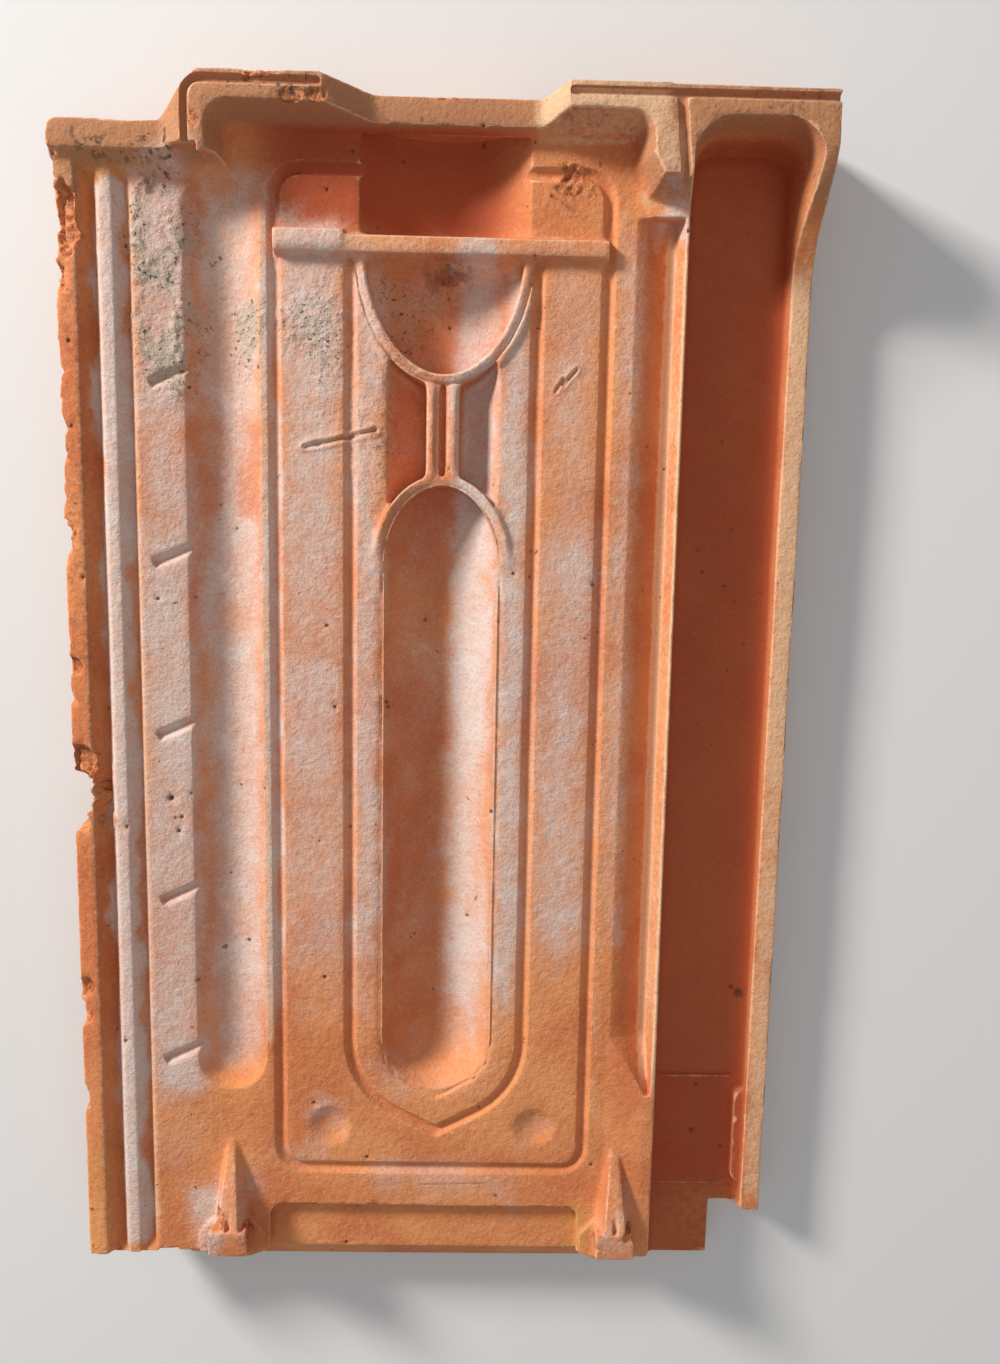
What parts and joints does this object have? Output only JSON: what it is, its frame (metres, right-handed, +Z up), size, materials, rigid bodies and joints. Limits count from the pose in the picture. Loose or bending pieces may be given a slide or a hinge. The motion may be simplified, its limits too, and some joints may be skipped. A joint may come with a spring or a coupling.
{
  "type": "clay roof tile",
  "caption": "Interlocking clay roof tile lying on its weather face: pressed underside with troughs, loop panel, hourglass rib, hanging nibs, nose lip and cover hollow.",
  "frame": {"origin": "middle of the footprint, on the floor that the tile lies on", "axes": "+X across the tile from the under-lap side to the cover side, +Y up the underside from the head to the nose, +Z up out of the underside"},
  "size_m": [0.258, 0.431, 0.04],
  "materials": {
    "fired_clay": "matt fired terracotta, weathered with pale salts and lichen"
  },
  "bodies": {
    "root": {"roof_tile": "fired_clay"}
  },
  "joints": []
}
